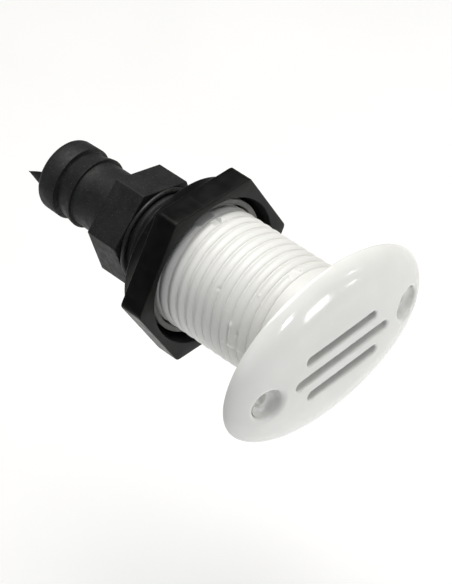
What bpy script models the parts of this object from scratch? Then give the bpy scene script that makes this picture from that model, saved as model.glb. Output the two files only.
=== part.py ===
"""Thru-hull fitting: a slotted oval flange on a threaded stem, its hull nut, and a barbed hose adapter.

The stem's axis is Y. The origin is on that axis at the flange's back face, the flange's outer face
looks towards -Y and the hose end towards +Y. The flange's long axis is X, and +Z is up. Sizes below
are in millimetres.
"""

import math

import bmesh
import bpy
from mathutils import Matrix, Vector

MM = 0.001

# Flange
FLANGE_LENGTH = 71.8
FLANGE_WIDTH = 48.9
FLANGE_THICKNESS = 7.6
FLANGE_EDGE = 0.4  # the widest outline lies this far in front of the back face
FLANGE_BACK_INSET = 0.9
# The front is domed from the widest outline inwards, and flat further in than the dome's reach
DOME_REACH = 18.0
DOME_INSETS = (0.0, 0.4, 1.5, 3.6, 7.0, 11.5, 18.0)
DOME_POWER = 0.6
SLOT_WIDTH = 2.7
SLOT_LENGTHS = (25.4, 33.6, 25.4)
SLOT_PITCH = 6.0
SLOT_DEPTH = 4.5
SCREW_SPACING = 51.3
SCREW_HEAD_R = 4.3
SCREW_HEAD_DEPTH = 4.4
SCREW_HOLE_R = 2.25

# Stem, with a coarse thread of wide crests and narrow grooves
STEM_R = 17.85
STEM_LENGTH = 50.9
STEM_CHAMFER = 0.8
STEM_PITCH = 3.175
GROOVE_DEPTH = 0.9
GROOVE_TOP = 1.3
GROOVE_BOTTOM = 0.5
GROOVE_START = 4.75  # height of the groove's middle where it begins, at the top of the stem
GROOVE_TURNS = 13.5
WATERWAY_R = 12.0
STRAINER_THICKNESS = 3.4
SOCKET_R = 13.25
SOCKET_DEPTH = 18.7

# Hull nut
NUT_FRONT = 39.1
NUT_HEX_HEIGHT = 7.2
NUT_CORNER_R = 27.2
NUT_CHAMFER = 0.4
NUT_CORNER_ROUNDING = 0.4
NUT_CORNER_ANGLE = 92.6  # from +Z towards +X
COLLAR_R = 22.7
COLLAR_HEIGHT = 3.3
COLLAR_CHAMFER = 0.4
RECESS_R = 21.55
RECESS_FLOOR_R = 20.25
RECESS_DEPTH = 6.5
NUT_BORE_R = 18.3
RIDGE_TIP_R = 17.3
RIDGE_BASE = 0.9
RIDGE_TIP = 0.3
RIDGE_ROOT = 0.6  # how deep the ridge is set into the nut's wall
RIDGE_TURNS = 0.9

# Washer in the nut's recess
WASHER_OUTER_R = 19.8
WASHER_INNER_R = 18.25
WASHER_THICKNESS = 3.6
TOUCH_GAP = 0.3

# Hose adapter
SPIGOT_R = 12.8
SPIGOT_END = 41.0
SPIGOT_CHAMFER = 0.8
HEX_FRONT = 60.5
HEX_HEIGHT = 10.7
HEX_CORNER_R = 16.2
HEX_CHAMFER = 0.5
HEX_CORNER_ANGLE = 45.8  # from +Z towards +X
SHANK_R = 9.6
SHANK_FLARE = 0.25  # how much wider the shank is where it meets the hexagon
SHANK_FLARE_LENGTH = 2.0
BARB_2 = 84.7
BARB_2_R = 10.5
BARB_1 = 90.8
BARB_1_R = 10.75
BARB_VALLEY_R = 9.35
HOSE_END = 97.8
NOSE_ROUNDING = 1.85
NOSE_TAPER = 0.1
HOSE_BORE_R = 7.6
TONGUE_LENGTH = 5.5
TONGUE_WIDTH = 2.9
TONGUE_THICKNESS = 1.1
TONGUE_R = 8.3
TONGUE_ANGLE = -72.0  # from +Z towards +X
# Share of its length, and how far the tongue has leaned over there; the first ring is its root
TONGUE_LEAN = ((-0.35, 0.0), (0.0, 0.0), (0.35, 0.2), (0.7, 0.7), (1.0, 1.25))
TONGUE_TIP = 0.1  # the tip's width as a share of the root's

# O-ring on the spigot
SEAL_SECTION_R = 0.65
SEAL_R = SPIGOT_R + SEAL_SECTION_R + 0.05

AROUND = 48
THREAD_AROUND = 36

WHITE = ("hull_white", (0.82, 0.82, 0.79, 1.0), 0.22)
BLACK = ("nut_black", (0.012, 0.013, 0.012, 1.0), 0.3)
CHARCOAL = ("adapter_charcoal", (0.03, 0.03, 0.032, 1.0), 0.55)
GREY = ("washer_grey", (0.22, 0.22, 0.21, 1.0), 0.7)
RUBBER = ("seal_rubber", (0.01, 0.01, 0.01, 1.0), 0.6)


def clear_scene():
    for old in list(bpy.data.objects):
        bpy.data.objects.remove(old, do_unlink=True)


def material(spec):
    name, colour, roughness = spec
    made = bpy.data.materials.get(name) or bpy.data.materials.new(name)
    made.use_nodes = True
    shader = made.node_tree.nodes["Principled BSDF"]
    shader.inputs["Base Color"].default_value = colour
    shader.inputs["Roughness"].default_value = roughness
    made.diffuse_color = colour
    return made


def new_object(name, bm, spec=None):
    """An object from a bmesh in millimetres, with its origin on the stem's axis."""
    bmesh.ops.recalc_face_normals(bm, faces=bm.faces[:])
    bmesh.ops.scale(bm, vec=(MM, MM, MM), verts=bm.verts[:])
    mesh = bpy.data.meshes.new(name)
    bm.to_mesh(mesh)
    bm.free()
    obj = bpy.data.objects.new(name, mesh)
    bpy.context.collection.objects.link(obj)
    if spec:
        mesh.materials.append(material(spec))
        mesh.shade_smooth()
        mesh.set_sharp_from_angle(angle=math.radians(32))
    else:
        obj.hide_render = True
        obj.display_type = "WIRE"
    return obj


def cut(obj, cutter, operation="DIFFERENCE"):
    modifier = obj.modifiers.new(cutter.name, "BOOLEAN")
    modifier.operation = operation
    modifier.solver = "EXACT"
    modifier.object = cutter


def around_axis(radius, angle, along):
    """The point at an angle from +Z towards +X, at this distance along the stem."""
    return Vector((radius * math.sin(angle), along, radius * math.cos(angle)))


def circle(radius, along, count=AROUND, start=0.0):
    return [around_axis(radius, start + math.tau * k / count, along) for k in range(count)]


def hexagon(corner_r, along, limit=None, start=0.0, count=AROUND):
    """A hexagon's outline with a corner at the start angle, cut back to a limiting radius."""
    flat_r = corner_r * math.cos(math.pi / 6)
    points = []
    for k in range(count):
        turn = math.tau * k / count
        off_flat = (turn % (math.pi / 3)) - math.pi / 6
        radius = min(flat_r / math.cos(off_flat), limit or corner_r)
        points.append(around_axis(radius, start + turn, along))
    return points


def ellipse(half_length, half_width, along, count=72):
    return [
        Vector((
            half_length * math.sin(math.tau * k / count),
            along,
            half_width * math.cos(math.tau * k / count),
        ))
        for k in range(count)
    ]


def skin(bm, rings, closed=False):
    """Joins rings of points one after the other, and closes the ends with a face or with each other."""
    loops = [[bm.verts.new(point) for point in ring] for ring in rings]
    pairs = list(zip(loops, loops[1:]))
    if closed:
        pairs.append((loops[-1], loops[0]))
    for low, high in pairs:
        count = len(low)
        for k in range(count):
            after = (k + 1) % count
            bm.faces.new((low[k], low[after], high[after], high[k]))
    if not closed:
        bm.faces.new(loops[0])
        bm.faces.new(loops[-1])


def solid_of_rings(name, rings, spec=None, closed=False):
    bm = bmesh.new()
    skin(bm, rings, closed)
    return new_object(name, bm, spec)


def rod(name, radius, low, high, at=(0.0, 0.0), count=AROUND):
    """A plain round cutter along the stem's direction."""
    obj = solid_of_rings(name, [circle(radius, low, count), circle(radius, high, count)])
    obj.data.transform(Matrix.Translation((at[0] * MM, 0, at[1] * MM)))
    return obj


def slot(name, length, width, low, high, z):
    """A round-ended slot cutter whose length runs along X."""
    straight = (length - width) / 2
    outline = []
    for side, quarter in ((1, 0), (-1, 2)):
        for k in range(9):
            angle = (quarter + 2 * k / 8) * math.pi / 2
            outline.append((side * straight + math.sin(angle) * width / 2, z + math.cos(angle) * width / 2))
    rings = [[Vector((x, along, h)) for x, h in outline] for along in (low, high)]
    return solid_of_rings(name, rings)


def groove_middle(turns):
    """How far along the stem the groove's middle lies after this many turns from +Z."""
    return GROOVE_START + STEM_PITCH * turns


def threaded_stem(name, root_end, spec):
    """The stem: a rod with one right-hand groove, which fades in near the flange. At the other end the
    last crest fades out, and a plain pilot of the groove's radius follows it."""
    bm = bmesh.new()
    count = THREAD_AROUND
    steps = round(GROOVE_TURNS * count)
    fade = count // 3
    # The groove's four corners: how far each lies from its middle
    offsets = (-GROOVE_TOP / 2, -GROOVE_BOTTOM / 2, GROOVE_BOTTOM / 2, GROOVE_TOP / 2)

    def point(step, corner):
        crest_step = step if corner == 3 else step - count
        height = GROOVE_DEPTH * max(0.0, min(1.0, (steps - crest_step) / fade))
        depth = GROOVE_DEPTH - height if corner in (0, 3) else GROOVE_DEPTH
        radius = STEM_R - depth * min(1.0, step / fade)
        along = groove_middle(step / count) + offsets[corner]
        return bm.verts.new(around_axis(radius, math.tau * step / count, along))

    rows = [[point(step, corner) for corner in range(4)] for step in range(steps + 1)]
    # The last crest's upper flank runs on for one more turn
    rows += [[point(step, corner) for corner in range(2)] for step in range(steps + 1, steps + count + 1)]
    for step in range(steps):
        here = rows[step] + [rows[step + count][0]]
        after = rows[step + 1] + [rows[step + 1 + count][0]]
        for corner in range(4):
            bm.faces.new((here[corner], here[corner + 1], after[corner + 1], after[corner]))

    low = [bm.verts.new(p) for p in circle(STEM_R, root_end, count)]
    for k in range(count - 1):
        bm.faces.new((low[k], low[k + 1], rows[k + 1][0], rows[k][0]))
    bm.faces.new([low[count - 1], low[0]] + rows[0] + [rows[count][0], rows[count - 1][0]])

    pilot_r = STEM_R - GROOVE_DEPTH
    shoulder = [bm.verts.new(p) for p in circle(pilot_r, STEM_LENGTH - STEM_CHAMFER, count)]
    end = [bm.verts.new(p) for p in circle(pilot_r - STEM_CHAMFER, STEM_LENGTH, count)]
    first = steps % count
    last = rows[steps + count]
    for k in range(count):
        here, after = rows[steps + k], rows[steps + k + 1]
        bm.faces.new((here[0], here[1], after[1], after[0]))
        face = [here[1], after[1], shoulder[(first + k + 1) % count], shoulder[(first + k) % count]]
        if k == 0:
            face += [last[1], last[0], here[3], here[2]]
        bm.faces.new(face)
    for k in range(count):
        after = (k + 1) % count
        bm.faces.new((shoulder[k], shoulder[after], end[after], end[k]))
    bm.faces.new(low)
    bm.faces.new(end)
    return new_object(name, bm, spec)


def thread_ridge(name, wall_r):
    """The nut's thread: a right-hand ridge that lies in the middle of the stem's groove."""
    bm = bmesh.new()
    section = (
        (-RIDGE_BASE / 2, wall_r + RIDGE_ROOT),
        (-RIDGE_TIP / 2, RIDGE_TIP_R),
        (RIDGE_TIP / 2, RIDGE_TIP_R),
        (RIDGE_BASE / 2, wall_r + RIDGE_ROOT),
    )
    middle = NUT_FRONT + (RECESS_DEPTH + NUT_HEX_HEIGHT + COLLAR_HEIGHT) / 2
    turns_to_middle = (middle - GROOVE_START) / STEM_PITCH
    steps = round(RIDGE_TURNS * THREAD_AROUND)
    loops = []
    for step in range(steps + 1):
        turns = turns_to_middle + (step / steps - 0.5) * RIDGE_TURNS
        loops.append([
            bm.verts.new(around_axis(radius, math.tau * turns, groove_middle(turns) + offset))
            for offset, radius in section
        ])
    for here, after in zip(loops, loops[1:]):
        for k in range(4):
            bm.faces.new((here[k], here[(k + 1) % 4], after[(k + 1) % 4], after[k]))
    bm.faces.new(loops[0])
    bm.faces.new(loops[-1])
    return new_object(name, bm)


def make_hull_body():
    half_length, half_width = FLANGE_LENGTH / 2, FLANGE_WIDTH / 2
    height = FLANGE_THICKNESS - FLANGE_EDGE
    rings = [ellipse(half_length - FLANGE_BACK_INSET, half_width - FLANGE_BACK_INSET, 0.0)]
    for inset in DOME_INSETS:
        share = (1.0 - (1.0 - inset / DOME_REACH) ** 2) ** DOME_POWER
        rings.append(ellipse(half_length - inset, half_width - inset, -FLANGE_EDGE - height * share))
    body = solid_of_rings("hull_body", rings, WHITE)

    stem = threaded_stem("stem_shape", -FLANGE_EDGE, WHITE)
    stem.hide_render = True
    stem.display_type = "WIRE"
    cut(body, stem, "UNION")

    bore_floor = STRAINER_THICKNESS - FLANGE_THICKNESS
    cut(body, rod("waterway_cutter", WATERWAY_R, bore_floor, STEM_LENGTH + 1))
    cut(body, rod("socket_cutter", SOCKET_R, STEM_LENGTH - SOCKET_DEPTH, STEM_LENGTH + 2))
    for place, length in zip((1, 0, -1), SLOT_LENGTHS):
        low, high = -FLANGE_THICKNESS - 1, SLOT_DEPTH - FLANGE_THICKNESS
        cut(body, slot(f"slot_cutter_{place + 2}", length, SLOT_WIDTH, low, high, place * SLOT_PITCH))
    for side in (-1, 1):
        centre = (side * SCREW_SPACING / 2, 0.0)
        seat = SCREW_HEAD_DEPTH - FLANGE_THICKNESS
        head_name, hole_name = f"screw_head_cutter_{side + 2}", f"screw_hole_cutter_{side + 2}"
        cut(body, rod(head_name, SCREW_HEAD_R, -FLANGE_THICKNESS - 1, seat, centre, 28))
        cut(body, rod(hole_name, SCREW_HOLE_R, -FLANGE_THICKNESS, 1, centre, 20))
    return body


def make_lock_nut():
    start = math.radians(NUT_CORNER_ANGLE)
    back = NUT_FRONT + NUT_HEX_HEIGHT
    collar_back = back + COLLAR_HEIGHT
    widest = NUT_CORNER_R - NUT_CORNER_ROUNDING
    rings = [
        hexagon(NUT_CORNER_R, NUT_FRONT, widest - NUT_CHAMFER, start),
        hexagon(NUT_CORNER_R, NUT_FRONT + NUT_CHAMFER, widest, start),
        hexagon(NUT_CORNER_R, back - NUT_CHAMFER, widest, start),
        hexagon(NUT_CORNER_R, back, widest - NUT_CHAMFER, start),
        circle(COLLAR_R, back, start=start),
        circle(COLLAR_R, collar_back - COLLAR_CHAMFER, start=start),
        circle(COLLAR_R - COLLAR_CHAMFER, collar_back, start=start),
        circle(NUT_BORE_R, collar_back, start=start),
        circle(NUT_BORE_R, NUT_FRONT + RECESS_DEPTH, start=start),
        circle(RECESS_FLOOR_R, NUT_FRONT + RECESS_DEPTH, start=start),
        circle(RECESS_R, NUT_FRONT, start=start),
    ]
    nut = solid_of_rings("lock_nut", rings, BLACK, closed=True)
    cut(nut, thread_ridge("nut_thread_shape", NUT_BORE_R), "UNION")
    return nut


def make_sealing_washer():
    back = NUT_FRONT + RECESS_DEPTH - TOUCH_GAP
    front = back - WASHER_THICKNESS
    rings = [
        circle(WASHER_INNER_R, front),
        circle(WASHER_OUTER_R, front),
        circle(WASHER_OUTER_R, back),
        circle(WASHER_INNER_R, back),
    ]
    return solid_of_rings("sealing_washer", rings, GREY, closed=True)


def nose_arc():
    """The rounded rim of the hose end, from the outer side to the end face."""
    middle_r = BARB_1_R - NOSE_TAPER - NOSE_ROUNDING
    middle = HOSE_END - NOSE_ROUNDING
    steps = 4
    for k in range(steps + 1):
        angle = math.pi / 2 * k / steps
        yield middle_r + NOSE_ROUNDING * math.cos(angle), middle + NOSE_ROUNDING * math.sin(angle)


def make_hose_adapter():
    start = math.radians(HEX_CORNER_ANGLE)
    flat_r = HEX_CORNER_R * math.cos(math.pi / 6)
    back = HEX_FRONT + HEX_HEIGHT
    chamfered = HEX_CORNER_R - HEX_CHAMFER
    rings = [
        circle(HOSE_BORE_R, SPIGOT_END, start=start),
        circle(SPIGOT_R - SPIGOT_CHAMFER, SPIGOT_END, start=start),
        circle(SPIGOT_R, SPIGOT_END + SPIGOT_CHAMFER, start=start),
        circle(SPIGOT_R, HEX_FRONT, start=start),
        hexagon(HEX_CORNER_R, HEX_FRONT, flat_r + HEX_CHAMFER, start),
        hexagon(HEX_CORNER_R, HEX_FRONT + HEX_CHAMFER, chamfered, start),
        hexagon(HEX_CORNER_R, back - HEX_CHAMFER, chamfered, start),
        hexagon(HEX_CORNER_R, back, flat_r + HEX_CHAMFER, start),
        circle(SHANK_R + SHANK_FLARE, back, start=start),
        circle(SHANK_R, back + SHANK_FLARE_LENGTH, start=start),
        circle(SHANK_R, BARB_2, start=start),
        circle(BARB_2_R, BARB_2, start=start),
        circle(BARB_VALLEY_R, BARB_1, start=start),
        circle(BARB_1_R, BARB_1, start=start),
    ]
    rings += [circle(radius, along, start=start) for radius, along in nose_arc()]
    rings.append(circle(HOSE_BORE_R, HOSE_END, start=start))
    adapter = solid_of_rings("hose_adapter", rings, CHARCOAL, closed=True)
    cut(adapter, tongue_shape(), "UNION")
    return adapter


def tongue_shape():
    """A thin pointed tongue that stands on the mouth's rim and narrows to one side of it."""
    rings = []
    for share, lean in TONGUE_LEAN:
        along = HOSE_END + TONGUE_LENGTH * share
        narrow = 1.0 - (1.0 - TONGUE_TIP) * max(share, 0.0)
        wide, thick = TONGUE_WIDTH / 2 * narrow, TONGUE_THICKNESS / 2 * narrow
        corners = ((-wide, -thick), (wide, -thick), (wide, thick), (-wide, thick))
        rings.append([Vector((across + lean, along, TONGUE_R + out)) for across, out in corners])
    obj = solid_of_rings("tongue_shape", rings)
    obj.data.transform(Matrix.Rotation(math.radians(TONGUE_ANGLE), 4, "Y"))
    return obj


def make_spigot_seal():
    """A round-section ring whose back lies just clear of the hexagon."""
    middle = HEX_FRONT - TOUCH_GAP - SEAL_SECTION_R
    section = 10
    rings = []
    for k in range(section):
        angle = math.tau * k / section
        radius = SEAL_R + TOUCH_GAP + SEAL_SECTION_R * math.cos(angle)
        rings.append(circle(radius, middle + SEAL_SECTION_R * math.sin(angle)))
    return solid_of_rings("spigot_seal", rings, RUBBER, closed=True)


def build():
    clear_scene()
    make_hull_body()
    make_sealing_washer()
    make_lock_nut()
    make_spigot_seal()
    make_hose_adapter()


build()
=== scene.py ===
"""The looks of the thru hull fitting: each piece again as a fine mesh around its solid, its materials,
the floor, the lights and the camera. Lengths are in millimetres unless a name says otherwise, and an
angle round the stem goes from +Z towards +X."""

import math

import bmesh
import bpy
import numpy as np
from mathutils import Matrix, Vector
from mathutils.geometry import delaunay_2d_cdt


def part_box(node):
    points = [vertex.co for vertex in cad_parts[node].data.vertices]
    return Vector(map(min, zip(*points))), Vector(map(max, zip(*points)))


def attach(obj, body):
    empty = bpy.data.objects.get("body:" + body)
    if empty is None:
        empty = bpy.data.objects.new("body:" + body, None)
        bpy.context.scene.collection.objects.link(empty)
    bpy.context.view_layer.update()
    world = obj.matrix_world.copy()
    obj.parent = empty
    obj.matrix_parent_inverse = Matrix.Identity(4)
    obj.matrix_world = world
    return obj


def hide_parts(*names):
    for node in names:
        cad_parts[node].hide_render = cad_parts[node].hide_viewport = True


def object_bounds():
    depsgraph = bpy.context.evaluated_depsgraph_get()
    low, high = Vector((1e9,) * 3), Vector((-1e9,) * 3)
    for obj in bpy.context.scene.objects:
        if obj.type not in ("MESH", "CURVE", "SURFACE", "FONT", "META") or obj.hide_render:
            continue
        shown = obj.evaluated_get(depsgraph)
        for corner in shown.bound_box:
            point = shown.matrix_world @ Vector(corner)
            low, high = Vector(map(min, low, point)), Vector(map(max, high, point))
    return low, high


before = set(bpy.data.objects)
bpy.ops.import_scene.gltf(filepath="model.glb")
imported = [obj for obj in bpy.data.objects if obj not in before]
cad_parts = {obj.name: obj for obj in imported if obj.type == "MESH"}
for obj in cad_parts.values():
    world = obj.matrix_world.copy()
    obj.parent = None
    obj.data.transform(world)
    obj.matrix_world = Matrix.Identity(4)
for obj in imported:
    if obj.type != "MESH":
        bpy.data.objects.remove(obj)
cad_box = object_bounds()
MM = 0.001
MERGE = 0.002  # points closer together than this are one point
AROUND = 360  # points round the stem, the nut and the adapter
SHARP = 40.0  # degrees between two faces from which their edge is drawn sharp


def cad_box_mm(node):
    low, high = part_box(node)
    return Vector(low) / MM, Vector(high) / MM


HULL_LOW, HULL_HIGH = cad_box_mm("hull_body")
NUT_LOW, NUT_HIGH = cad_box_mm("lock_nut")
WASHER_LOW, WASHER_HIGH = cad_box_mm("sealing_washer")
ADAPTER_LOW, ADAPTER_HIGH = cad_box_mm("hose_adapter")
SEAL_LOW, SEAL_HIGH = cad_box_mm("spigot_seal")

# Flange
HALF_LENGTH = HULL_HIGH.x
HALF_WIDTH = HULL_HIGH.z
FRONT = HULL_LOW.y
FLANGE_EDGE = 0.4
BACK_INSET = 0.9
DOME_REACH = 18.0  # the dome is flat further in than this
DOME_POWER = 0.6
SLOT_WIDTH = 2.7
SLOT_LENGTHS = (25.4, 33.6, 25.4)
SLOT_PITCH = 6.0
SLOT_FLOOR = FRONT + 4.5
SLOT_LIP = 0.75
SLOT_STEP = 0.45  # between the points along a slot's side
FLOOR_CORNER = 0.35
SCREW_X = 51.3 / 2
SCREW_HEAD_R = 4.3
SCREW_SEAT = FRONT + 4.4
SCREW_HOLE_R = 2.25
SCREW_LIP = 1.5
SEAT_CORNER = 1.7
SCREW_AROUND = 96
EDGE_BAND = 6.0  # the band along the flange's edge that has its own rings of points
GRID = 0.8  # between the points on the rest of the front

# Stem
STEM_R = 17.85
STEM_END = HULL_HIGH.y
STEM_CHAMFER = 0.8
PITCH = 3.175
GROOVE_DEPTH = 0.9
GROOVE_START = 4.75
GROOVE_TURNS = 13.5
WATERWAY_R = 12.0
WATERWAY_FLOOR = FRONT + 3.4
SOCKET_R = 13.25
SOCKET_FLOOR = STEM_END - 18.7
SOCKET_EDGE = 0.4
ROOT_FILLET = 0.5
WATERWAY_AROUND = 192

# Hull nut
NUT_FRONT = NUT_LOW.y
NUT_BACK = NUT_FRONT + 7.2
NUT_CORNER_R = 27.2
NUT_CORNER_ROUND = 1.5
NUT_EDGE = 0.35
NUT_ANGLE = 92.6
COLLAR_R = 22.7
COLLAR_END = NUT_HIGH.y
COLLAR_EDGE = 0.4
RECESS_R = 21.55
RECESS_FLOOR_R = 20.25
RECESS_FLOOR = NUT_FRONT + 6.5
RECESS_EDGE = 0.3
RECESS_FILLET = 0.5
NUT_BORE_R = 18.3
RIDGE_TIP_R = 17.3
RIDGE_BASE = 0.9
RIDGE_TIP = 0.3
WASHER_BORE_R = 18.25
WASHER_EDGE = 0.3

# Hose adapter
SPIGOT_R = 12.8
SPIGOT_PITCH = 25.4 / 14
SPIGOT_CHAMFER = 1.6
SPIGOT_THREAD_DEPTH = 0.75
SPIGOT_THREAD_START = ADAPTER_LOW.y + 1.0
HEX_FRONT = 60.5
SPIGOT_THREAD_END = HEX_FRONT - 2.2
HEX_BACK = HEX_FRONT + 10.7
HEX_CORNER_R = 16.2
HEX_CORNER_ROUND = 0.45
HEX_EDGE = 0.3
HEX_ANGLE = 45.8
SHANK_R = 9.6
BARB_2 = 84.7
BARB_2_R = 10.5
BARB_1 = 90.8
BARB_1_R = 10.75
BARB_VALLEY_R = 9.35
HOSE_END = 97.8
NOSE = 1.85
MOUTH_EDGE = 0.4
HOSE_BORE_R = 7.6
TONGUE_LENGTH = ADAPTER_HIGH.y - HOSE_END
TONGUE_R = 8.3
TONGUE_ANGLE = -72.0
TONGUE_WIDTH = 4.2
TONGUE_THICKNESS = 1.1
TONGUE_LEAN = -0.3
TONGUE_ROOT = 0.25  # how much of its length it goes on inside the rim


# ---------------------------------------------------------------- meshes


def new_object(name, points, faces, sharp=SHARP):
    """An object from points in millimetres: points that coincide are joined, and its faces point out."""
    mesh = bpy.data.meshes.new(name)
    mesh.from_pydata([tuple(p) for p in np.asarray(points) * MM], [], faces)
    bm = bmesh.new()
    bm.from_mesh(mesh)
    bmesh.ops.remove_doubles(bm, verts=bm.verts[:], dist=MERGE * MM)
    bmesh.ops.recalc_face_normals(bm, faces=bm.faces[:])
    bm.to_mesh(mesh)
    bm.free()
    mesh.shade_smooth()
    mesh.set_sharp_from_angle(angle=math.radians(sharp))
    obj = bpy.data.objects.new(name, mesh)
    bpy.context.collection.objects.link(obj)
    return obj


class Shell:
    """Points and faces gathered from several surfaces, in millimetres."""

    def __init__(self):
        self.points = []
        self.faces = []

    def add(self, points, faces):
        start = len(self.points)
        self.points.extend(np.asarray(points, float).reshape(-1, 3).tolist())
        self.faces.extend([tuple(start + k for k in face) for face in faces])

    def cap(self, loop):
        """One face inside a loop of points."""
        self.add(loop, [tuple(range(len(loop)))])

    def rings(self, rings, closed=False):
        """A skin over rings of points, one after the other."""
        rings = np.asarray(rings, float)
        count, around = rings.shape[:2]
        last = count if closed else count - 1
        faces = []
        for row in range(last):
            here, after = row * around, (row + 1) % count * around
            for k in range(around):
                side = (k + 1) % around
                faces.append((here + k, here + side, after + side, after + k))
        self.add(rings, faces)


def angles(count=AROUND):
    return np.arange(count) * math.tau / count


def ring(radius, along, turn):
    """Points at these radii and heights, each of which may differ from point to point."""
    radius = np.broadcast_to(radius, turn.shape)
    along = np.broadcast_to(along, turn.shape)
    return np.stack([radius * np.sin(turn), along, radius * np.cos(turn)], axis=-1)


def turned(profile, turn):
    """The rings of a profile of radii and heights."""
    return [ring(radius, along, turn) for radius, along in profile]


def arc(radius, along, size, first, last, steps=6):
    """Points of a round edge about a centre, by angle in degrees from outwards towards the hose end."""
    for angle in np.radians(np.linspace(first, last, steps + 1)):
        yield radius + size * math.cos(angle), along + size * math.sin(angle)


def hexagon_r(flat_r, corner_round, off_corner):
    """The radius of a hexagon with round corners, by angle from a corner."""
    off_corner = (off_corner + math.pi / 6) % (math.pi / 3) - math.pi / 6
    off_flat = math.pi / 6 - np.abs(off_corner)
    centre_r = (flat_r - corner_round) / math.cos(math.pi / 6)
    flat = flat_r / np.cos(off_flat)
    reach = np.maximum(corner_round**2 - (centre_r * np.sin(off_corner)) ** 2, 0.0)
    corner = centre_r * np.cos(off_corner) + np.sqrt(reach)
    on_flat = flat_r * np.tan(off_flat) <= (flat_r - corner_round) * math.tan(math.pi / 6)
    return np.where(on_flat, flat, corner)


def smooth(value, low, high):
    """0 below low, 1 above high, and a smooth step between them."""
    share = np.clip((value - low) / (high - low), 0.0, 1.0)
    return share * share * (3.0 - 2.0 * share)


def bump(value, width):
    """A round-topped bell: 1 in the middle, 0 from the width outwards."""
    return smooth(width - np.abs(value), 0.0, width)


# ---------------------------------------------------------------- hull moulding


def ellipse_inset(x, z):
    """How far inside the flange's widest outline a point lies."""
    inset = np.zeros(np.shape(x))
    for _ in range(30):
        a, b = HALF_LENGTH - inset, HALF_WIDTH - inset
        value = (x / a) ** 2 + (z / b) ** 2 - 1.0
        slope = 2.0 * x**2 / a**3 + 2.0 * z**2 / b**3
        inset = np.clip(inset - value / np.maximum(slope, 1e-9), 0.0, HALF_WIDTH - 0.5)
    return inset


def lip(distance, size):
    """How far a hole's round lip falls away at this distance from the hole's wall."""
    inside = np.clip(size - distance, 0.0, size)
    return size - np.sqrt(size**2 - inside**2)


class Slot:
    """A drain slot of the flange."""

    lip_size = SLOT_LIP
    floor = SLOT_FLOOR
    floor_corner = FLOOR_CORNER

    def __init__(self, length, middle):
        self.straight = (length - SLOT_WIDTH) / 2
        self.middle = middle

    def distance(self, x, z):
        """How far outside the slot's outline a point lies."""
        return np.hypot(np.maximum(np.abs(x) - self.straight, 0.0), z - self.middle) - SLOT_WIDTH / 2

    def outline(self, away):
        """The slot's outline, moved outwards by a distance."""
        radius = SLOT_WIDTH / 2 + away
        ends = np.linspace(0.0, math.pi, 21)
        side = np.linspace(self.straight, -self.straight, round(self.straight / SLOT_STEP))[1:-1]
        x = np.concatenate([self.straight + radius * np.sin(ends), side])
        z = np.concatenate([radius * np.cos(ends), np.full(side.size, -radius)])
        return np.stack([np.concatenate([x, -x]), self.middle + np.concatenate([z, -z])], axis=-1)


class ScrewHole:
    """A screw hole of the flange, down to the seat of the screw's head."""

    lip_size = SCREW_LIP
    floor = SCREW_SEAT
    floor_corner = SEAT_CORNER

    def __init__(self, middle):
        self.middle = middle

    def distance(self, x, z):
        """How far outside the hole's outline a point lies."""
        return np.hypot(x - self.middle, z) - SCREW_HEAD_R

    def outline(self, away):
        """The hole's outline, moved outwards by a distance."""
        turn = angles(SCREW_AROUND)
        radius = SCREW_HEAD_R + away
        return np.stack([self.middle + radius * np.sin(turn), radius * np.cos(turn)], axis=-1)


SLOTS = [Slot(length, place * SLOT_PITCH) for place, length in zip((1, 0, -1), SLOT_LENGTHS)]
SCREW_HOLES = [ScrewHole(side * SCREW_X) for side in (-1, 1)]
HOLES = SLOTS + SCREW_HOLES


def outside_holes(x, z, gap, with_lip=False):
    """Whether a point lies further than a gap outside every hole, or outside every hole's lip."""
    keep = np.ones(x.shape, bool)
    for hole in HOLES:
        keep &= hole.distance(x, z) > gap + (hole.lip_size if with_lip else 0.0)
    return keep


def front_height(x, z):
    """Where the domed front lies along Y, with the round lips of its holes."""
    share = np.clip(ellipse_inset(x, z) / DOME_REACH, 0.0, 1.0)
    dome = (1.0 - (1.0 - share) ** 2) ** DOME_POWER
    height = -FLANGE_EDGE + (FRONT + FLANGE_EDGE) * dome
    for hole in HOLES:
        height = height + lip(np.maximum(hole.distance(x, z), 0.0), hole.lip_size)
    return height


def flange_outline(inset):
    turn = angles()
    return np.stack([(HALF_LENGTH - inset) * np.sin(turn), (HALF_WIDTH - inset) * np.cos(turn)], axis=-1)


def triangles(loops, fill, inside):
    """Triangles over closed loops and loose points, kept where inside(x, z) holds."""
    points, edges = [], []
    for loop in loops:
        start = len(points)
        points += [Vector(p) for p in loop]
        edges += [(start + k, start + (k + 1) % len(loop)) for k in range(len(loop))]
    points += [Vector(p) for p in fill]
    made = delaunay_2d_cdt(points, edges, [], 0, 1e-6)
    flat = np.array([tuple(p) for p in made[0]])
    faces = np.array([tuple(f) for f in made[2]])
    middle = flat[faces].mean(axis=1)
    return flat, faces[inside(middle[:, 0], middle[:, 1])]


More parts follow.
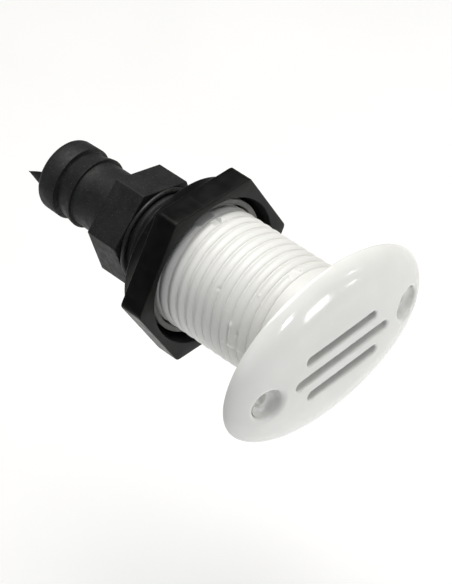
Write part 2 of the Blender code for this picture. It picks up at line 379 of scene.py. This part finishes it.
def flange_front(shell):
    """The domed front: rings of points along its edge and round its holes, and a grid between them."""
    fill = [flange_outline(inset) for inset in EDGE_BAND * np.linspace(0.0, 1.0, 18)[1:] ** 2.2]
    for hole in HOLES:
        away = hole.lip_size * (1.0 - np.cos(np.linspace(0.0, math.pi / 2, 8)[1:]))
        fill += [hole.outline(step) for step in away] + [hole.outline(hole.lip_size + 0.35)]
    x, z = np.meshgrid(np.arange(-HALF_LENGTH, HALF_LENGTH, GRID), np.arange(-HALF_WIDTH, HALF_WIDTH, GRID))
    z = z + GRID / 2 * (np.arange(x.shape[1]) % 2)
    x, z = x.ravel(), z.ravel()
    margin = EDGE_BAND + 0.5
    within = (x / (HALF_LENGTH - margin)) ** 2 + (z / (HALF_WIDTH - margin)) ** 2 < 1.0
    within &= outside_holes(x, z, 0.6, with_lip=True)
    fill = np.concatenate([*fill, np.stack([x[within], z[within]], axis=-1)])
    fill = fill[outside_holes(fill[:, 0], fill[:, 1], 0.02)]
    loops = [flange_outline(0.0)] + [hole.outline(0.0) for hole in HOLES]
    flat, faces = triangles(loops, fill, lambda x, z: outside_holes(x, z, 0.0))
    points = np.stack([flat[:, 0], front_height(flat[:, 0], flat[:, 1]), flat[:, 1]], axis=-1)
    shell.add(points, faces.tolist())


def at_height(outline, along):
    return np.stack([outline[:, 0], np.broadcast_to(along, len(outline)), outline[:, 1]], axis=-1)


def flange_holes(shell):
    """The walls and floors of the holes, and the screw holes' way on to the back."""
    for hole in HOLES:
        rim = hole.outline(0.0)
        top = front_height(rim[:, 0], rim[:, 1])
        low = hole.floor - hole.floor_corner
        rings = [at_height(rim, top + (low - top) * share) for share in np.linspace(0.0, 1.0, 5)]
        for away, along in arc(-hole.floor_corner, low, hole.floor_corner, 15.0, 90.0, 5):
            rings.append(at_height(hole.outline(away), along))
        shell.rings(rings)
    for slot in SLOTS:
        shell.cap(at_height(slot.outline(-FLOOR_CORNER), SLOT_FLOOR))
    edge = 0.2
    profile = (
        (SCREW_HEAD_R - SEAT_CORNER, SCREW_SEAT),
        (SCREW_HOLE_R + edge, SCREW_SEAT),
        (SCREW_HOLE_R, SCREW_SEAT + edge),
        (SCREW_HOLE_R, 0.0),
    )
    for hole in SCREW_HOLES:
        shell.rings([r + np.array([hole.middle, 0.0, 0.0]) for r in turned(profile, angles(SCREW_AROUND))])


def flange_back(shell, root_ring):
    """The round rear edge and the flat back. The ring where the stem stands is closed, and opened later."""
    rings = []
    for angle in np.radians(np.linspace(0.0, 90.0, 7)):
        inset = BACK_INSET * (1.0 - math.cos(angle))
        rings.append(at_height(flange_outline(inset), -FLANGE_EDGE * (1.0 - math.sin(angle))))
    shell.rings(rings)
    root_r = np.hypot(root_ring[0, 0], root_ring[0, 2])

    def inside(x, z):
        return (np.hypot(np.abs(x) - SCREW_X, z) > SCREW_HOLE_R) & (np.hypot(x, z) > root_r)

    screws = [hole.outline(SCREW_HOLE_R - SCREW_HEAD_R) for hole in SCREW_HOLES]
    flat, faces = triangles([flange_outline(BACK_INSET), root_ring[:, [0, 2]], *screws], [], inside)
    shell.add(np.stack([flat[:, 0], np.zeros(len(flat)), flat[:, 1]], axis=-1), faces.tolist())
    shell.cap(root_ring)


# The stem's surface lies at a depth under its crests, which depends on the angle round the stem in degrees,
# from −180 to 180, and on the height along it.

GROOVE_HALF_BOTTOM = 0.12  # half of a groove's width at its bottom, and at its top
GROOVE_HALF_TOP = 0.5
CROWN = 0.75  # how much lower the rounded crests are at their sides
CROWN_POWER = 1.7
NECK_DEPTH = 0.5
PARTING_ANGLE = -87.5
FLASH = 0.4
FLASH_HALF_ANGLE = 1.9
PARTING_STEP = 0.16  # how much lower the stem is past the parting line
FLASH_HEIGHT, FLASH_REACH = 14.5, 7.5
PUSHED = 0.55  # how far a crest is pushed aside, at this height and from the second of these angles on
PUSHED_HEIGHT, PUSHED_REACH = 15.6, 2.6
PUSHED_ANGLES = (64.0, 72.0)
SHELF_DEPTH = 0.6
SHELF_HEIGHTS = (39.6, 40.1)
POCKETS = ((0.0, 8.5, 2.3, 0.5), (1.7, 38.1, 1.5, 0.9))  # angle, height, radius and depth
FLAWS = (  # angle, height, radius and how far it stands out
    (-68.5, 16.6, 1.3, 0.4),
    (-74.0, 13.9, 1.0, -0.45),
    (-47.0, 23.9, 0.7, -0.25),
    (-33.5, 12.4, 0.6, 0.25),
)


def groove_phase(turn, along):
    """The distance along the stem from the nearest groove's middle, and that groove's number."""
    pitches = (along - GROOVE_START) / PITCH - turn / 360.0
    return (pitches - np.round(pitches)) * PITCH, np.round(pitches)


def stem_depth(turn, along):
    """How far under the crest radius the stem's surface lies."""
    pushed_aside = PUSHED * smooth(-turn, *PUSHED_ANGLES) * bump(along - PUSHED_HEIGHT, PUSHED_REACH)
    phase, number = groove_phase(turn, along - pushed_aside)
    groove = GROOVE_DEPTH * (1.0 - smooth(np.abs(phase), GROOVE_HALF_BOTTOM, GROOVE_HALF_TOP))
    depth = np.maximum(groove, CROWN * (1.0 - np.abs(phase) / (PITCH / 2)) ** CROWN_POWER)
    # Between the flange and the first groove lies a plain neck
    turns = (along - GROOVE_START) / PITCH - turn / 360.0
    neck = NECK_DEPTH * (1.0 - smooth(turns, 0.97, 1.03))
    depth = np.where(number < 1, neck, np.maximum(depth, neck))
    # Where the thread begins and ends, a round pocket cuts off the crest
    for angle, height, radius, deep in POCKETS:
        away = np.hypot(np.radians(turn - angle) * STEM_R, along - height)
        depth = np.maximum(depth, deep * (1.0 - smooth(away, radius - 0.3, radius)))
    shelf = smooth(turn, -14.0, -8.0) * (1.0 - smooth(turn, 6.0, 7.0)) * smooth(along, *SHELF_HEIGHTS)
    depth = np.maximum(depth, SHELF_DEPTH * shelf)
    # Flash stands on the crests along the mould's parting lines, most of all near the flange
    threaded = smooth(turns, 1.0, 1.1) * (1.0 - smooth(along, 33.0, 36.0))
    strong = (bump(along - FLASH_HEIGHT, FLASH_REACH) + 0.2) * threaded
    for parting in (PARTING_ANGLE, PARTING_ANGLE + 180.0):
        flash = FLASH * strong * bump(turn - parting, FLASH_HALF_ANGLE)
        depth = depth - flash * smooth(0.55 - depth, 0.0, 0.3)
    depth = depth + PARTING_STEP * smooth(PARTING_ANGLE - turn, 0.0, 1.0) * strong
    # A torn lump with a dent beside it, and two small flaws
    for angle, height, radius, rise in FLAWS:
        depth = depth - rise * spot(turn, along, angle, height, radius)
    return depth


def spot(turn, along, angle, height, radius):
    """A round spot on the stem: 1 in its middle, 0 from its radius outwards."""
    away = np.hypot(np.radians(turn - angle) * STEM_R, along - height)
    return 1.0 - smooth(away, 0.0, radius)


def stem_surface(shell):
    """The stem's outer surface, on rows that run along the thread."""
    near = np.array([0.12, 0.2, 0.27, 0.34, 0.42, 0.55, 0.75, 1.0, 1.3])  # rows, from a groove's middle
    offsets = np.concatenate([-near[::-1], [0.0], near, [PITCH / 2]])
    per_pitch = len(offsets)
    pitches = math.ceil(STEM_END / PITCH) + 2
    rows = GROOVE_START - 3 * PITCH + (PITCH * np.arange(pitches + 2)[:, None] + offsets[None, :]).ravel()
    high = STEM_END - STEM_CHAMFER
    turn = angles()
    along = np.clip(rows[:, None] + PITCH * turn[None, :] / math.tau, ROOT_FILLET, high)
    degrees = (np.degrees(turn) + 180.0) % 360.0 - 180.0
    radius = STEM_R - stem_depth(np.broadcast_to(degrees, along.shape), along)
    # The last crest fades out before the end, where the pilot is as thin as the grooves are deep
    turns = (along - GROOVE_START) / PITCH
    pilot = smooth(turns, GROOVE_TURNS - 0.2, GROOVE_TURNS + 0.1)
    radius = radius + (STEM_R - GROOVE_DEPTH - radius) * pilot
    points = ring(radius, along, np.broadcast_to(turn, along.shape))
    faces = []
    count = len(rows)
    for row in range(count - 1):
        for k in range(AROUND):
            here, side = row * AROUND + k, row * AROUND + k + 1
            above, above_side = here + AROUND, side + AROUND
            if k == AROUND - 1:
                side = (row + per_pitch) * AROUND
                above_side = side + AROUND
            if above_side < count * AROUND:
                faces.append((here, side, above_side, above))
    shell.add(points, faces)


def stem_low_radius():
    """The stem's radius where its surface meets the fillet at its root."""
    turn = np.degrees(angles())
    turn = (turn + 180.0) % 360.0 - 180.0
    return STEM_R - stem_depth(turn, np.full(turn.shape, ROOT_FILLET))


def make_hull():
    """The flange, with the waterway cut into it, and the stem's skin sewn to its back."""
    turn = angles()
    low_r = stem_low_radius()
    root = [
        ring(low_r + ROOT_FILLET * (1.0 - math.sin(a)), ROOT_FILLET * (1.0 - math.cos(a)), turn)
        for a in np.radians(np.linspace(0.0, 90.0, 5))
    ]
    flange = Shell()
    flange_front(flange)
    flange_holes(flange)
    flange_back(flange, root[0])
    body = new_object("hull_moulding", flange.points, flange.faces)
    wide = angles(WATERWAY_AROUND)
    bore = Shell()
    ends = [ring(WATERWAY_R, along, wide) for along in (WATERWAY_FLOOR, 1.0)]
    bore.rings(ends)
    for end in ends:
        bore.cap(end)
    cut(body, new_object("bore_cutter", bore.points, bore.faces))
    open_root(body, np.hypot(root[0][0, 0], root[0][0, 2]))

    stem = Shell()
    stem.rings(root)
    stem_surface(stem)
    pilot_r = STEM_R - GROOVE_DEPTH
    profile = (
        (pilot_r, STEM_END - STEM_CHAMFER),
        (pilot_r - STEM_CHAMFER, STEM_END),
        (SOCKET_R + SOCKET_EDGE, STEM_END),
        (SOCKET_R, STEM_END - SOCKET_EDGE),
        (SOCKET_R, SOCKET_FLOOR),
        (WATERWAY_R, SOCKET_FLOOR),
    )
    stem.rings(turned(profile, turn))
    bridge(stem, ring(WATERWAY_R, SOCKET_FLOOR, turn), ring(WATERWAY_R, 0.0, wide))
    join(body, stem)
    return body


def bridge(shell, high, low):
    """Joins two rings that have different counts of points."""
    many, few = len(high), len(low)
    points = np.concatenate([high, low])
    faces = []
    j = 0
    for k in range(many):
        while (j + 0.5) / few < (k + 0.5) / many and j < few:
            faces.append((k, many + (j + 1) % few, many + j % few))
            j += 1
        faces.append((k, (k + 1) % many, many + j % few))
    shell.add(points, faces)


def cut(obj, cutter, operation="DIFFERENCE"):
    """Applies a Boolean with another object, which is then removed."""
    modifier = obj.modifiers.new("cut", "BOOLEAN")
    modifier.operation = operation
    modifier.solver = "EXACT"
    modifier.object = cutter
    graph = bpy.context.evaluated_depsgraph_get()
    mesh = bpy.data.meshes.new_from_object(obj.evaluated_get(graph))
    obj.modifiers.clear()
    obj.data = mesh
    bpy.data.objects.remove(cutter, do_unlink=True)


def open_root(obj, root_r):
    """Takes away the flat ring under the stem, so that the stem's own skin can follow on."""
    bm = bmesh.new()
    bm.from_mesh(obj.data)
    limit = (root_r + 0.01) * MM
    under = [
        f for f in bm.faces
        if all(abs(v.co.y) < 1e-6 and math.hypot(v.co.x, v.co.z) < limit for v in f.verts)
    ]
    bmesh.ops.delete(bm, geom=under, context="FACES")
    bm.to_mesh(obj.data)
    bm.free()


def join(obj, shell):
    """Adds a shell's faces to an object's mesh and joins them where their points coincide."""
    bm = bmesh.new()
    bm.from_mesh(obj.data)
    verts = [bm.verts.new(Vector(p) * MM) for p in shell.points]
    for face in shell.faces:
        bm.faces.new([verts[k] for k in face])
    bmesh.ops.remove_doubles(bm, verts=bm.verts[:], dist=MERGE * MM)
    bmesh.ops.recalc_face_normals(bm, faces=bm.faces[:])
    bm.to_mesh(obj.data)
    bm.free()
    obj.data.shade_smooth()
    obj.data.set_sharp_from_angle(angle=math.radians(SHARP))


# ---------------------------------------------------------------- nut, washer, adapter and seal


def helix_ridge(turn, along, pitch, start, base, tip):
    """The height, from 0 to 1, of a ridge that winds round the axis."""
    pitches = (along - start) / pitch - turn / math.tau
    phase = np.abs(pitches - np.round(pitches)) * pitch
    return 1.0 - np.clip((phase - tip / 2) / ((base - tip) / 2), 0.0, 1.0)


def hexagon_block(corner_r, corner_round, angle, low, high, edge, hold):
    """Rings up a hexagon with round corners and edges. A ring near each end keeps its sides flat."""
    turn = angles()
    flat_r = corner_r * math.cos(math.pi / 6)
    off_corner = turn - math.radians(angle)

    def hexagon(inset, along):
        return ring(hexagon_r(flat_r - inset, corner_round, off_corner), along, turn)

    quarter = np.radians(np.linspace(0.0, 90.0, 5))
    rings = [hexagon(edge * (1.0 - math.sin(a)), low + edge * (1.0 - math.cos(a))) for a in quarter]
    rings += [hexagon(0.0, low + hold), hexagon(0.0, high - hold)]
    rings += [hexagon(edge * (1.0 - math.cos(a)), high - edge * (1.0 - math.sin(a))) for a in quarter]
    return rings


def closed_object(name, rings, sharp=SHARP):
    shell = Shell()
    shell.rings(rings, closed=True)
    return new_object(name, shell.points, shell.faces, sharp)


def make_nut():
    turn = angles()
    # From the recess over the front face, the sides and the shoulder to the collar
    rings = turned(arc(RECESS_R + RECESS_EDGE, NUT_FRONT + RECESS_EDGE, RECESS_EDGE, 180.0, 270.0, 4), turn)
    rings += hexagon_block(NUT_CORNER_R, NUT_CORNER_ROUND, NUT_ANGLE, NUT_FRONT, NUT_BACK, NUT_EDGE, 1.8)
    rings += turned([(COLLAR_R + COLLAR_EDGE, NUT_BACK), (COLLAR_R, NUT_BACK + COLLAR_EDGE)], turn)
    rings += turned(arc(COLLAR_R - COLLAR_EDGE, COLLAR_END - COLLAR_EDGE, COLLAR_EDGE, 0.0, 90.0, 5), turn)
    # The bore with its thread, and the tapered recess
    for along in np.linspace(COLLAR_END, RECESS_FLOOR, 28):
        ends = min((COLLAR_END - along) / 0.5, (along - RECESS_FLOOR) / 0.5, 1.0)
        height = (NUT_BORE_R - RIDGE_TIP_R) * max(ends, 0.0)
        ridge = helix_ridge(turn, along, PITCH, GROOVE_START, RIDGE_BASE, RIDGE_TIP)
        rings.append(ring(NUT_BORE_R - height * ridge, along, turn))
    fillet_r, fillet_y = RECESS_FLOOR_R - RECESS_FILLET, RECESS_FLOOR - RECESS_FILLET
    rings += turned(arc(fillet_r, fillet_y, RECESS_FILLET, 90.0, 0.0, 4), turn)
    return closed_object("hull_nut", rings, 50.0)


def make_washer():
    inner, outer = WASHER_BORE_R + WASHER_EDGE, WASHER_HIGH.x - WASHER_EDGE
    front, back = WASHER_LOW.y + WASHER_EDGE, WASHER_HIGH.y - WASHER_EDGE
    edges = ((inner, front, 180.0), (outer, front, 270.0), (outer, back, 0.0), (inner, back, 90.0))
    profile = []
    for radius, along, first in edges:
        profile += arc(radius, along, WASHER_EDGE, first, first + 90.0)
    return closed_object("nut_washer", turned(profile, angles(240)))


def make_seal():
    section = (SEAL_HIGH.y - SEAL_LOW.y) / 2
    middle = (SEAL_HIGH.y + SEAL_LOW.y) / 2
    profile = list(arc(SEAL_HIGH.x - section, middle, section, 0.0, 360.0, 24))[:-1]
    return closed_object("adapter_seal", turned(profile, angles(240)))


def make_adapter():
    turn = angles()
    rings = turned([(HOSE_BORE_R, ADAPTER_LOW.y), (SPIGOT_R - SPIGOT_CHAMFER, ADAPTER_LOW.y)], turn)
    for along in np.linspace(SPIGOT_THREAD_START, SPIGOT_THREAD_END, 110):
        depth = SPIGOT_THREAD_DEPTH * min(SPIGOT_THREAD_END - along, 1.0)
        ridge = helix_ridge(turn, along, SPIGOT_PITCH, SPIGOT_THREAD_START, 1.7, 0.25)
        rings.append(ring(SPIGOT_R - depth * (1.0 - ridge), along, turn))
    rings.append(ring(SPIGOT_R, HEX_FRONT, turn))
    rings += hexagon_block(HEX_CORNER_R, HEX_CORNER_ROUND, HEX_ANGLE, HEX_FRONT, HEX_BACK, HEX_EDGE, 1.3)
    # The foot of the shank, the shank, and the two barbs with the valley between them
    tail = (
        (SHANK_R + 0.9, HEX_BACK), (SHANK_R + 0.45, HEX_BACK + 0.25), (SHANK_R + 0.2, HEX_BACK + 0.8),
        (SHANK_R, HEX_BACK + 2.0), (SHANK_R, BARB_2 - 4.0), (SHANK_R - 0.15, BARB_2 - 0.25),
        (SHANK_R, BARB_2), (BARB_2_R - 0.12, BARB_2),
        (BARB_2_R, BARB_2 + 0.15), (BARB_2_R - 0.1, BARB_2 + 0.9),
        (BARB_VALLEY_R + 0.1, BARB_1 - 0.7), (BARB_VALLEY_R, BARB_1 - 0.1), (BARB_VALLEY_R + 0.2, BARB_1),
        (BARB_1_R - 0.12, BARB_1), (BARB_1_R, BARB_1 + 0.15),
    )
    rings += turned(tail, turn)
    rings += turned(arc(BARB_1_R - 0.1 - NOSE, HOSE_END - NOSE, NOSE, 0.0, 90.0, 10), turn)
    rings += turned(arc(HOSE_BORE_R + MOUTH_EDGE, HOSE_END - MOUTH_EDGE, MOUTH_EDGE, 90.0, 180.0, 4), turn)
    adapter = closed_object("hose_tail_adapter", rings)
    cut(adapter, make_tongue(), "UNION")
    adapter.data.shade_smooth()
    adapter.data.set_sharp_from_angle(angle=math.radians(SHARP))
    return adapter


def make_tongue():
    """A thin curved tongue of plastic, which stands on the mouth's rim and narrows to a point."""
    turn = math.radians(TONGUE_ANGLE)
    outwards = Vector((math.sin(turn), 0.0, math.cos(turn)))
    aside = Vector((math.cos(turn), 0.0, -math.sin(turn)))
    rings = []
    for share in np.linspace(-TONGUE_ROOT, 1.0, 17):
        rise = max(share, 0.0)
        width = TONGUE_WIDTH / 2 * max(1.0 - rise**1.15, 0.03)
        thick = TONGUE_THICKNESS / 2 * max(1.0 - 0.7 * rise, 0.05)
        middle = outwards * TONGUE_R + aside * (TONGUE_LEAN * rise**1.8)
        middle.y = HOSE_END + TONGUE_LENGTH * share
        loop = []
        for angle in angles(20):
            loop.append(middle + aside * (width * math.cos(angle)) + outwards * (thick * math.sin(angle)))
        rings.append(loop)
    shell = Shell()
    shell.rings(rings)
    for loop in (rings[0], rings[-1]):
        shell.cap(loop)
    return new_object("tongue_shape", shell.points, shell.faces)


# ---------------------------------------------------------------- materials


class Nodes:
    """A material's node tree, with short calls for the few kinds of node used here."""

    def __init__(self, name):
        self.material = bpy.data.materials.new(name)
        self.material.use_nodes = True
        self.tree = self.material.node_tree
        self.shader = self.tree.nodes["Principled BSDF"]
        self.place = self.node("ShaderNodeTexCoord").outputs["Object"]

    def node(self, kind, **settings):
        made = self.tree.nodes.new(kind)
        for key, value in settings.items():
            setattr(made, key, value)
        return made

    def link(self, output, socket):
        self.tree.links.new(output, socket)

    def noise(self, size, detail=3.0, stretch=(1.0, 1.0, 1.0)):
        """Noise with features of this size in millimetres."""
        mapping = self.node("ShaderNodeMapping")
        mapping.inputs["Scale"].default_value = [s / (size * MM) for s in stretch]
        made = self.node("ShaderNodeTexNoise")
        made.inputs["Scale"].default_value = 1.0
        made.inputs["Detail"].default_value = detail
        self.link(self.place, mapping.inputs["Vector"])
        self.link(mapping.outputs["Vector"], made.inputs["Vector"])
        return made.outputs["Fac"]

    def ramp(self, value, low, high, first, last):
        """Maps a value between low and high to a number or a colour between first and last."""
        colour = isinstance(first, tuple)
        made = self.node("ShaderNodeMapRange", interpolation_type="SMOOTHSTEP")
        made.inputs["From Min"].default_value = low
        made.inputs["From Max"].default_value = high
        self.link(value, made.inputs["Value"])
        if not colour:
            made.inputs["To Min"].default_value = first
            made.inputs["To Max"].default_value = last
            return made.outputs["Result"]
        mix = self.node("ShaderNodeMix", data_type="RGBA")
        mix.inputs[6].default_value = (*first, 1.0)
        mix.inputs[7].default_value = (*last, 1.0)
        self.link(made.outputs["Result"], mix.inputs[0])
        return mix.outputs[2]

    def over(self, share, below, colour):
        """A colour laid over another by a share."""
        mix = self.node("ShaderNodeMix", data_type="RGBA")
        mix.inputs[7].default_value = (*colour, 1.0)
        self.link(share, mix.inputs[0])
        self.link(below, mix.inputs[6])
        return mix.outputs[2]

    def bump(self, value, strength, distance_mm):
        made = self.node("ShaderNodeBump")
        made.inputs["Strength"].default_value = strength
        made.inputs["Distance"].default_value = distance_mm * MM
        self.link(value, made.inputs["Height"])
        previous = self.shader.inputs["Normal"]
        if previous.is_linked:
            self.link(previous.links[0].from_socket, made.inputs["Normal"])
        self.link(made.outputs["Normal"], previous)


def white_plastic():
    nodes = Nodes("white_plastic")
    colour = nodes.ramp(nodes.noise(14.0), 0.3, 0.7, (0.80, 0.80, 0.775), (0.84, 0.84, 0.82))
    specks = nodes.ramp(nodes.noise(0.5, 2.0), 0.70, 0.78, 0.0, 0.25)
    nodes.link(nodes.over(specks, colour, (0.62, 0.60, 0.54)), nodes.shader.inputs["Base Color"])
    # The stem is duller than the polished flange
    behind = nodes.node("ShaderNodeSeparateXYZ")
    nodes.link(nodes.place, behind.inputs[0])
    dull = nodes.ramp(behind.outputs["Y"], 0.0, 0.002, 0.0, 0.26)
    total = nodes.node("ShaderNodeMath", operation="ADD")
    nodes.link(nodes.ramp(nodes.noise(5.0), 0.3, 0.7, 0.10, 0.16), total.inputs[0])
    nodes.link(dull, total.inputs[1])
    nodes.link(total.outputs[0], nodes.shader.inputs["Roughness"])
    nodes.bump(nodes.noise(2.2, 4.0), 0.08, 0.05)
    nodes.shader.inputs["IOR"].default_value = 1.5
    return nodes.material


def black_plastic():
    nodes = Nodes("black_plastic")
    colour = nodes.ramp(nodes.noise(9.0), 0.3, 0.7, (0.003, 0.0033, 0.003), (0.007, 0.0075, 0.007))
    scuffs = nodes.ramp(nodes.noise(1.2, 5.0, (1.0, 0.12, 1.0)), 0.62, 0.76, 0.0, 0.25)
    nodes.link(nodes.over(scuffs, colour, (0.035, 0.035, 0.035)), nodes.shader.inputs["Base Color"])
    nodes.link(nodes.ramp(nodes.noise(3.0, 5.0), 0.3, 0.7, 0.28, 0.42), nodes.shader.inputs["Roughness"])
    nodes.bump(nodes.noise(0.6, 4.0), 0.15, 0.05)
    nodes.shader.inputs["Specular IOR Level"].default_value = 0.14
    return nodes.material


def charcoal_plastic():
    nodes = Nodes("charcoal_plastic")
    colour = nodes.ramp(nodes.noise(6.0), 0.3, 0.7, (0.010, 0.0105, 0.0105), (0.017, 0.0175, 0.018))
    grain = nodes.ramp(nodes.noise(0.35, 2.0), 0.58, 0.75, 0.0, 0.55)
    nodes.link(nodes.over(grain, colour, (0.085, 0.085, 0.085)), nodes.shader.inputs["Base Color"])
    nodes.link(nodes.ramp(nodes.noise(2.0, 4.0), 0.3, 0.7, 0.50, 0.66), nodes.shader.inputs["Roughness"])
    nodes.bump(nodes.noise(0.5, 3.0), 0.35, 0.06)
    nodes.shader.inputs["Specular IOR Level"].default_value = 0.3
    return nodes.material


def washer_rubber():
    nodes = Nodes("washer_rubber")
    colour = nodes.ramp(nodes.noise(4.0), 0.3, 0.7, (0.16, 0.16, 0.155), (0.21, 0.21, 0.20))
    nodes.link(colour, nodes.shader.inputs["Base Color"])
    nodes.link(nodes.ramp(nodes.noise(1.5), 0.3, 0.7, 0.6, 0.8), nodes.shader.inputs["Roughness"])
    nodes.bump(nodes.noise(0.4, 3.0), 0.3, 0.05)
    return nodes.material


def seal_rubber():
    nodes = Nodes("ring_rubber")
    colour = nodes.ramp(nodes.noise(3.0), 0.3, 0.7, (0.008, 0.008, 0.008), (0.016, 0.016, 0.016))
    nodes.link(colour, nodes.shader.inputs["Base Color"])
    nodes.link(nodes.ramp(nodes.noise(1.0), 0.3, 0.7, 0.35, 0.55), nodes.shader.inputs["Roughness"])
    nodes.bump(nodes.noise(0.4, 3.0), 0.2, 0.03)
    return nodes.material


def floor_white():
    nodes = Nodes("floor_white")
    colour = nodes.ramp(nodes.noise(60.0), 0.3, 0.7, (0.93, 0.93, 0.93), (0.95, 0.95, 0.95))
    nodes.link(colour, nodes.shader.inputs["Base Color"])
    nodes.shader.inputs["Roughness"].default_value = 0.9
    nodes.shader.inputs["Specular IOR Level"].default_value = 0.1
    nodes.shader.inputs["Emission Color"].default_value = (1.0, 1.0, 1.0, 1.0)
    nodes.shader.inputs["Emission Strength"].default_value = 0.16
    return nodes.material


# ---------------------------------------------------------------- stage


FLOOR_BELOW = 0.12  # metres under the object, so that no shadow of it is in view
LIGHT_TARGET = (0.0, 0.035, 0.0)
WARM_WHITE = (1.0, 0.99, 0.97)
WINDOWS = (  # where each light is mirrored in the dome (x and z), and its size, length and power
    (-15.8, 19.8, 0.07, 0.10, 0.42),
    (-6.6, 19.5, 0.09, 0.10, 0.52),
    (3.4, 23.7, 0.03, 0.03, 0.04),
    (7.4, 21.4, 0.03, 0.03, 0.04),
    (6.1, 19.5, 0.03, 0.03, 0.04),
)
CAMERA_AZIMUTH, CAMERA_ELEVATION, CAMERA_ROLL = -43.41, 42.9, -2.22
CAMERA_TARGET = (2.915, 37.83, -8.785)
CAMERA_DISTANCE = 666.7


def make_floor():
    size = 3.0
    low = cad_box[0][2] - FLOOR_BELOW
    mesh = bpy.data.meshes.new("floor")
    corners = [(-size, -size, low), (size, -size, low), (size, size, low), (-size, size, low)]
    mesh.from_pydata(corners, [], [(0, 1, 2, 3)])
    mesh.materials.append(floor_white())
    obj = bpy.data.objects.new("floor", mesh)
    bpy.context.collection.objects.link(obj)


def area_light(name, place, size, power, colour, target=LIGHT_TARGET, length=None):
    light = bpy.data.lights.new(name, "AREA")
    light.shape = "RECTANGLE"
    light.size = size
    light.size_y = length or size
    light.energy = power
    light.color = colour
    obj = bpy.data.objects.new(name, light)
    obj.location = place
    obj.rotation_euler = (Vector(target) - Vector(place)).to_track_quat("-Z", "Y").to_euler()
    bpy.context.collection.objects.link(obj)
    return obj


def mirror_light(name, x, z, size, length, power, away=0.6):
    """A soft box placed where the camera sees it mirrored in the flange's dome at this place."""
    step = 0.05
    here = front_height(np.array([x, x + step, x]), np.array([z, z, z + step]))
    point = Vector((x, here[0], z)) * MM
    normal = Vector(((here[1] - here[0]) / step, -1.0, (here[2] - here[0]) / step)).normalized()
    view = (bpy.context.scene.camera.location - point).normalized()
    mirrored = (2.0 * normal.dot(view) * normal - view).normalized()
    area_light(name, point + mirrored * away, size, power, WARM_WHITE, point, length)


def make_lights():
    for number, (x, z, size, length, power) in enumerate(WINDOWS):
        mirror_light(f"window_{number}", x, z, size, length, power)
    area_light("key_above", (0.12, 0.10, 0.8), 0.7, 8.3, (1.0, 0.99, 0.96))
    area_light("fill_front", (-0.5, -0.6, 0.45), 0.6, 0.7, (0.82, 0.88, 1.0))
    world = bpy.data.worlds.new("studio")
    world.use_nodes = True
    background = world.node_tree.nodes["Background"]
    background.inputs["Color"].default_value = (0.96, 0.97, 1.0, 1.0)
    background.inputs["Strength"].default_value = 0.08
    bpy.context.scene.world = world


def make_camera():
    azimuth, elevation, roll = (math.radians(a) for a in (CAMERA_AZIMUTH, CAMERA_ELEVATION, CAMERA_ROLL))
    back = Vector((
        math.sin(azimuth) * math.cos(elevation),
        -math.cos(azimuth) * math.cos(elevation),
        math.sin(elevation),
    ))
    right = Vector((math.cos(azimuth), math.sin(azimuth), 0.0))
    up = back.cross(right)
    right, up = right * math.cos(roll) + up * math.sin(roll), up * math.cos(roll) - right * math.sin(roll)
    camera = bpy.data.cameras.new("camera")
    camera.lens = 154.1
    camera.sensor_width = 36.0
    obj = bpy.data.objects.new("camera", camera)
    matrix = Matrix((right, up, back)).transposed().to_4x4()
    matrix.translation = (Vector(CAMERA_TARGET) + back * CAMERA_DISTANCE) * MM
    obj.matrix_world = matrix
    bpy.context.collection.objects.link(obj)
    bpy.context.scene.camera = obj
    bpy.context.scene.view_settings.view_transform = "Standard"


# ---------------------------------------------------------------- the object


def place_piece(obj, body, node, material):
    obj.data.materials.clear()
    obj.data.materials.append(material)
    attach(obj, body)
    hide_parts(node)


place_piece(make_hull(), "hull", "hull_body", white_plastic())
place_piece(make_nut(), "nut", "lock_nut", black_plastic())
place_piece(make_washer(), "nut_washer", "sealing_washer", washer_rubber())
place_piece(make_adapter(), "adapter", "hose_adapter", charcoal_plastic())
place_piece(make_seal(), "adapter_seal", "spigot_seal", seal_rubber())
make_floor()
make_camera()
make_lights()
